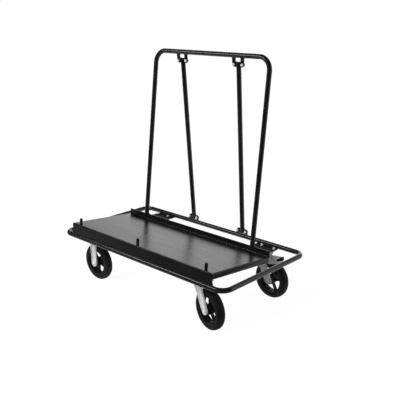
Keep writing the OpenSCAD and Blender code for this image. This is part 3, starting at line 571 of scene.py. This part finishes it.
def bolt_and_nut(name, shank_r, hexagon_r, head_h, nut_from, nut_to, length, domed):
    """A bolt and its nut along +Z, with the head's outer end at the origin."""
    shape = bmesh.new()
    if domed:
        head = [round_ring(shape, hexagon_r * share, head_h * height) for share, height in dome_profile]
    else:
        head = [round_ring(shape, round_face_share * hexagon_r, 0),
                hexagon_ring(shape, hexagon_r, chamfer_share * hexagon_r, flat_chamfer_share * hexagon_r),
                hexagon_ring(shape, hexagon_r, head_h, head_h)]
    skin(shape, head, domed)
    nut_hexagon_r = min(hexagon_r, largest_nut_share * shank_r)
    chamfer = chamfer_share * nut_hexagon_r
    nut = [hexagon_ring(shape, nut_hexagon_r, nut_from, nut_from),
           hexagon_ring(shape, nut_hexagon_r, nut_to - chamfer, nut_to - nut_flat_share * chamfer),
           round_ring(shape, round_face_share * nut_hexagon_r, nut_to)]
    skin(shape, nut, False)
    root_r = shank_r * (1 - thread_depth_share)
    shank = [round_ring(shape, shank_r, head_h), round_ring(shape, shank_r, nut_to)]
    height = nut_to
    while height + thread_pitch < length:
        shank.append(round_ring(shape, root_r, height + thread_root_at * thread_pitch))
        shank.append(round_ring(shape, shank_r, height + thread_crest_at * thread_pitch))
        height += thread_pitch
    shank.append(round_ring(shape, point_share * shank_r, length))
    skin(shape, shank, False)
    mesh = bpy.data.meshes.new(name)
    shape.to_mesh(mesh)
    shape.free()
    return bpy.data.objects.new(name, mesh)


fastener_tree, start, end = new_tree("fasteners", [
    ("Shape", "NodeSocketObject"), ("Finish", "NodeSocketMaterial")])
shape_info = fastener_tree.nodes.new("GeometryNodeObjectInfo")
bolt_way = fastener_tree.nodes.new("GeometryNodeInputNamedAttribute")
bolt_way.data_type = "FLOAT_VECTOR"
bolt_way.inputs["Name"].default_value = "way"
facing = fastener_tree.nodes.new("FunctionNodeAlignRotationToVector")
facing.axis = "Z"
fit = fastener_tree.nodes.new("GeometryNodeInstanceOnPoints")
fastener_tree.links.new(start.outputs["Shape"], shape_info.inputs["Object"])
fastener_tree.links.new(bolt_way.outputs[0], facing.inputs["Vector"])
fastener_tree.links.new(start.outputs["Geometry"], fit.inputs["Points"])
fastener_tree.links.new(shape_info.outputs["Geometry"], fit.inputs["Instance"])
fastener_tree.links.new(facing.outputs["Rotation"], fit.inputs["Rotation"])
finish_tree(fastener_tree, start, end, fit.outputs["Instances"])


def fit_fasteners(name, body, bolts, nuts, finish, shank_r, hexagon_r, head_h, domed=False):
    """Puts a bolt and a nut in place of each CAD bolt and the CAD nut nearest to it."""
    heads, ways = [], []
    nut_solids = separate_solids(nuts)
    for bolt in separate_solids(bolts):
        centre = middle(bolt)
        nut = min(nut_solids, key=lambda solid: (middle(solid) - centre).length)
        way = (middle(nut) - centre).normalized()
        bolt_reach = [(corner - centre).dot(way) for corner in bolt]
        nut_reach = [(corner - centre).dot(way) for corner in nut]
        heads.append(centre + way * min(bolt_reach))
        ways.append(way)
    # The bolts of a node are alike, so the last one's lengths serve for all.
    nut_from = min(nut_reach) - min(bolt_reach)
    nut_to = max(nut_reach) - min(bolt_reach)
    length = max(bolt_reach) - min(bolt_reach)
    shape = bolt_and_nut(f"{name}_shape", shank_r, hexagon_r, head_h, nut_from, nut_to, length, domed)
    points = bpy.data.meshes.new(f"{name}_points")
    points.from_pydata(heads, [], [])
    way_values = [value for way in ways for value in way]
    points.attributes.new("way", "FLOAT_VECTOR", "POINT").data.foreach_set("vector", way_values)
    fitted = grow(name, points, fastener_tree, {"Shape": shape, "Finish": finish})
    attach(fitted, body)
    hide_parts(bolts, nuts)


m8_r = 0.004
m8_hexagon_r = 0.0076
m8_head_h = 0.00528
axle_r = 0.006
axle_hexagon_r = 0.011
axle_head_h = 0.007
dome_r = 0.0088
dome_h = 0.0036
for group in ("caster", "brace"):
    fit_fasteners(f"{group}_fasteners", "cart_frame", f"{group}_bolts", f"{group}_nuts",
                  zinc_plate, m8_r, m8_hexagon_r, m8_head_h)
fit_fasteners("foot_fasteners", "cart_frame", "leg_bolts", "leg_nuts",
              under_coat, m8_r, dome_r, dome_h, domed=True)
fit_fasteners("fixed_axle_fasteners", "cart_frame", "fixed_axles", "fixed_axle_nuts",
              zinc_plate, axle_r, axle_hexagon_r, axle_head_h)
for corner in ("front_right", "rear_right"):
    fit_fasteners(f"{corner}_axle_fastener", f"{corner}_swivel", f"{corner}_axle", f"{corner}_axle_nut",
                  zinc_plate, axle_r, axle_hexagon_r, axle_head_h)


# Edge pegs: short steel posts in a moulded black rubber sleeve, which stop boards at the front edge.
# Each goes through the sheet, and is held below it by a washer and a nut.
peg_rubber, tree, shader = new_finish("peg_rubber", colour=(0.006, 0.006, 0.006), metallic=0, specular=0.3)
blotches = add_cloud(tree, scale=60, detail=4)
blend_colours(tree, blotches, shader, dark=(0.004, 0.004, 0.004), pale=(0.008, 0.008, 0.008))
haze = add_cloud(tree, scale=240, detail=4)
vary_roughness(tree, haze, shader, low=0.55, high=0.75)
mould_grain = add_cloud(tree, scale=1100, detail=3)
raise_grain(tree, mould_grain, shader, strength=0.15, depth=0.0003)
coat_node("edge_pegs", peg_rubber)


# Tyres: solid black rubber, cast in a two-part mould and pressed on the core.
# The mould leaves a thin line round the tread and a raised band on each sidewall.
tyre_r = 0.1
tyre_bore_r = 0.07205
tyre_half_w = 0.021
shoulder_r = 0.015
shoulder_steps = 10
mould_line_proud = 0.0004
mould_line_half_w = 0.0005
mould_line_foot_w = 0.0009
band_outer_r = 0.0832
band_inner_r = 0.0788
band_proud = 0.0006
lip_r = 0.0742
lip_depth = 0.0028
tyre_steps = 128

tyre_rubber, tree, shader = new_finish("tyre_rubber", colour=(0.007, 0.007, 0.007), metallic=0, specular=0.2)
blotches = add_cloud(tree, scale=22, detail=5)
blend_colours(tree, blotches, shader, dark=(0.005, 0.005, 0.005), pale=(0.01, 0.01, 0.01))
haze = add_cloud(tree, scale=90, detail=5)
vary_roughness(tree, haze, shader, low=0.50, high=0.70)
mould_grain = add_cloud(tree, scale=900, detail=3)
raise_grain(tree, mould_grain, shader, strength=0.15, depth=0.0004)


def tyre_half():
    """Half of the tyre's section from the tread's middle to the bore: (radius, distance from the middle)."""
    tread_r = tyre_r - mould_line_proud
    wall_w = tyre_half_w - band_proud
    points = [(tyre_r, 0), (tyre_r, mould_line_half_w), (tread_r, mould_line_foot_w)]
    for i in range(shoulder_steps + 1):
        turn = math.pi / 2 * i / shoulder_steps
        points.append((tread_r - shoulder_r + shoulder_r * math.cos(turn),
                       wall_w - shoulder_r + shoulder_r * math.sin(turn)))
    points += [(band_outer_r + band_proud, wall_w), (band_outer_r, tyre_half_w)]
    points += [(band_inner_r, tyre_half_w), (band_inner_r - band_proud, wall_w)]
    points += [(lip_r, wall_w), (tyre_bore_r, tyre_half_w - lip_depth)]
    return points


def turned_piece(name, section, joint, material):
    """Turns a closed section about a wheel's axle; the section is (radius, distance along the axle)."""
    centre = Vector(joint["pos_m"])
    axle = Vector(joint["axis"])
    upright = Vector((0, 0, 1))
    forward = axle.cross(upright)
    shape = bmesh.new()
    rings = []
    for i in range(tyre_steps):
        turn = 2 * math.pi * i / tyre_steps
        out = math.cos(turn) * upright + math.sin(turn) * forward
        rings.append([shape.verts.new(centre + radius * out + reach * axle) for radius, reach in section])
    count = len(section)
    for i in range(tyre_steps):
        ring, after = rings[i], rings[(i + 1) % tyre_steps]
        for j in range(count):
            k = (j + 1) % count
            shape.faces.new((ring[j], ring[k], after[k], after[j])).smooth = True
    bmesh.ops.recalc_face_normals(shape, faces=shape.faces)
    mesh = bpy.data.meshes.new(name)
    shape.to_mesh(mesh)
    shape.free()
    mesh.materials.append(material)
    piece = bpy.data.objects.new(name, mesh)
    scene.collection.objects.link(piece)
    return piece


half = tyre_half()
tyre_section = half + [(radius, -reach) for radius, reach in reversed(half[1:])]
for corner in ("front_left", "rear_left", "front_right", "rear_right"):
    tyre = turned_piece(f"{corner}_rubber", tyre_section, joints[f"{corner}_wheel_spin"], tyre_rubber)
    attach(tyre, f"{corner}_wheel")
    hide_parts(f"{corner}_tyre")


# Wheel cores: black glass-filled nylon, moulded in one piece with open windows between five spokes.
# The skin is dull, and the tyre is pressed on the rim.
core_plastic, tree, shader = new_finish(
    "core_plastic", colour=(0.004, 0.004, 0.004), metallic=0, specular=0.15)
blotches = add_cloud(tree, scale=40, detail=4)
blend_colours(tree, blotches, shader, dark=(0.003, 0.003, 0.003), pale=(0.006, 0.006, 0.006))
haze = add_cloud(tree, scale=120, detail=4)
vary_roughness(tree, haze, shader, low=0.38, high=0.55)
mould_grain = add_cloud(tree, scale=1000, detail=2)
raise_grain(tree, mould_grain, shader, strength=0.10, depth=0.0003, edge_r=0.0008)
for corner in ("front_left", "rear_left", "front_right", "rear_right"):
    coat_node(f"{corner}_core", core_plastic)


# Pedal grip: a cap of the same black nylon, pressed over the brake pedal's round end.
# Raised ribs across its top keep a boot from slipping.
pedal_slope = math.radians(6.5)
rib_inset = 0.0032
rib_pitch = 0.0030
rib_count = 4
rib_proud = 0.0009
rib_sides = 12

coat_node("rear_right_pedal_grip", core_plastic)
across = Vector(joints["rear_right_brake_press"]["axis"])
upright = Vector((0, 0, 1))
ahead = across.cross(upright)
along_tread = math.cos(pedal_slope) * ahead + math.sin(pedal_slope) * upright
off_tread = along_tread.cross(across)
grip_corners = [vert.co for vert in nodes["rear_right_pedal_grip"].data.vertices]
tip = max(corner.dot(along_tread) for corner in grip_corners)
grip_l = tip - min(corner.dot(along_tread) for corner in grip_corners)
grip_top = max(corner.dot(off_tread) for corner in grip_corners)
right_side = max(corner.dot(across) for corner in grip_corners)
left_side = min(corner.dot(across) for corner in grip_corners)
half_w = (right_side - left_side) / 2
end_r = (half_w ** 2 + grip_l ** 2) / (2 * grip_l)

rib_lines = []
for i in range(rib_count):
    inset = rib_inset + i * rib_pitch
    half_chord = math.sqrt(end_r ** 2 - (end_r - inset) ** 2) - rib_inset
    rib_middle = (tip - inset) * along_tread + (left_side + half_w) * across + grip_top * off_tread
    rib_lines += [rib_middle - half_chord * across, rib_middle + half_chord * across]

rib_tree, start, end = new_tree("grip_ribs", [
    ("Rib height", "NodeSocketFloat"), ("Finish", "NodeSocketMaterial")])
rib_run = rib_tree.nodes.new("GeometryNodeMeshToCurve")
rib_section = rib_tree.nodes.new("GeometryNodeCurvePrimitiveCircle")
rib_section.inputs["Resolution"].default_value = rib_sides
rib_sweep = rib_tree.nodes.new("GeometryNodeCurveToMesh")
rib_sweep.inputs["Fill Caps"].default_value = True
rib_tree.links.new(start.outputs["Geometry"], rib_run.inputs["Mesh"])
rib_tree.links.new(start.outputs["Rib height"], rib_section.inputs["Radius"])
rib_tree.links.new(rib_run.outputs["Curve"], rib_sweep.inputs["Curve"])
rib_tree.links.new(rib_section.outputs["Curve"], rib_sweep.inputs["Profile Curve"])
finish_tree(rib_tree, start, end, rib_sweep.outputs["Mesh"])

rib_mesh = bpy.data.meshes.new("grip_rib_lines")
rib_mesh.from_pydata(rib_lines, [(2 * i, 2 * i + 1) for i in range(rib_count)], [])
ribs = grow("pedal_grip_ribs", rib_mesh, rib_tree, {"Rib height": rib_proud, "Finish": core_plastic})
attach(ribs, "rear_right_brake")
